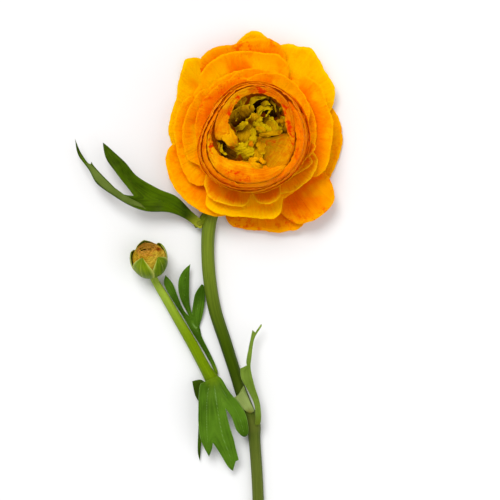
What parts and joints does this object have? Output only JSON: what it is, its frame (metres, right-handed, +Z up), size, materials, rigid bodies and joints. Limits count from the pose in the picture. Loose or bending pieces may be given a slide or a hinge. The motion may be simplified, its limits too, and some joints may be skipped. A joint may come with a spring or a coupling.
{
  "type": "ranunculus flower",
  "caption": "Cut orange ranunculus lying on its back: an open layered bloom with a closed cup and green eye, a bud on a side shoot, divided leaves, and a long green stem.",
  "frame": {"origin": "On the resting surface, under the middle of the lying flower's bounding box.", "axes": "+Z up from the surface, +Y along the stem towards the bloom, +X to the right seen from above with the bloom away from the viewer."},
  "size_m": [0.1066, 0.2116, 0.0347],
  "materials": {
    "stem": "smooth living stalk, faint sheen",
    "shoot": "smooth young stalk",
    "sheath": "pale papery bract",
    "dark_leaf": "thin leaf, soft sheen",
    "leaf": "thin leaf, soft sheen",
    "receptacle": "matt plant tissue",
    "sepal": "downy green sepal",
    "guard_petal": "silky petal",
    "outer_petal": "silky petal",
    "middle_petal": "silky petal",
    "cup_petal": "silky petal, flecked rim",
    "eye_petal": "small crumpled petal",
    "bud": "tightly folded petals"
  },
  "bodies": {
    "root": {"bloom_sepal_1": "sepal", "bloom_sepal_2": "sepal", "bloom_sepal_3": "sepal", "bloom_sepal_4": "sepal", "bloom_sepal_5": "sepal", "bud_heart": "bud", "bud_sepal_1": "sepal", "bud_sepal_2": "sepal", "bud_sepal_3": "sepal", "bud_sepal_4": "sepal", "bud_sepal_5": "sepal", "cup_petal_1": "cup_petal", "cup_petal_10": "cup_petal", "cup_petal_2": "cup_petal", "cup_petal_3": "cup_petal", "cup_petal_4": "cup_petal", "cup_petal_5": "cup_petal", "cup_petal_6": "cup_petal", "cup_petal_7": "cup_petal", "cup_petal_8": "cup_petal", "cup_petal_9": "cup_petal", "eye_petal_1": "eye_petal", "eye_petal_2": "eye_petal", "eye_petal_3": "eye_petal", "eye_petal_4": "eye_petal", "eye_petal_5": "eye_petal", "eye_petal_6": "eye_petal", "folded_leaf_lobe": "dark_leaf", "guard_petal_1": "guard_petal", "guard_petal_2": "guard_petal", "guard_petal_3": "guard_petal", "guard_petal_4": "guard_petal", "guard_petal_5": "guard_petal", "guard_petal_6": "guard_petal", "guard_petal_7": "guard_petal", "guard_petal_8": "guard_petal", "hanging_leaf": "leaf", "hanging_leaf_lobe": "dark_leaf", "main_stem": "stem", "middle_petal_1": "middle_petal", "middle_petal_2": "middle_petal", "middle_petal_3": "middle_petal", "middle_petal_4": "middle_petal", "middle_petal_5": "middle_petal", "middle_petal_6": "middle_petal", "middle_petal_7": "middle_petal", "middle_petal_8": "middle_petal", "narrow_leaf": "leaf", "node_sheath": "sheath", "outer_petal_1": "outer_petal", "outer_petal_2": "outer_petal", "outer_petal_3": "outer_petal", "outer_petal_4": "outer_petal", "receptacle": "receptacle", "side_leaf": "leaf", "side_shoot": "shoot", "upper_leaf": "dark_leaf"}
  },
  "joints": []
}
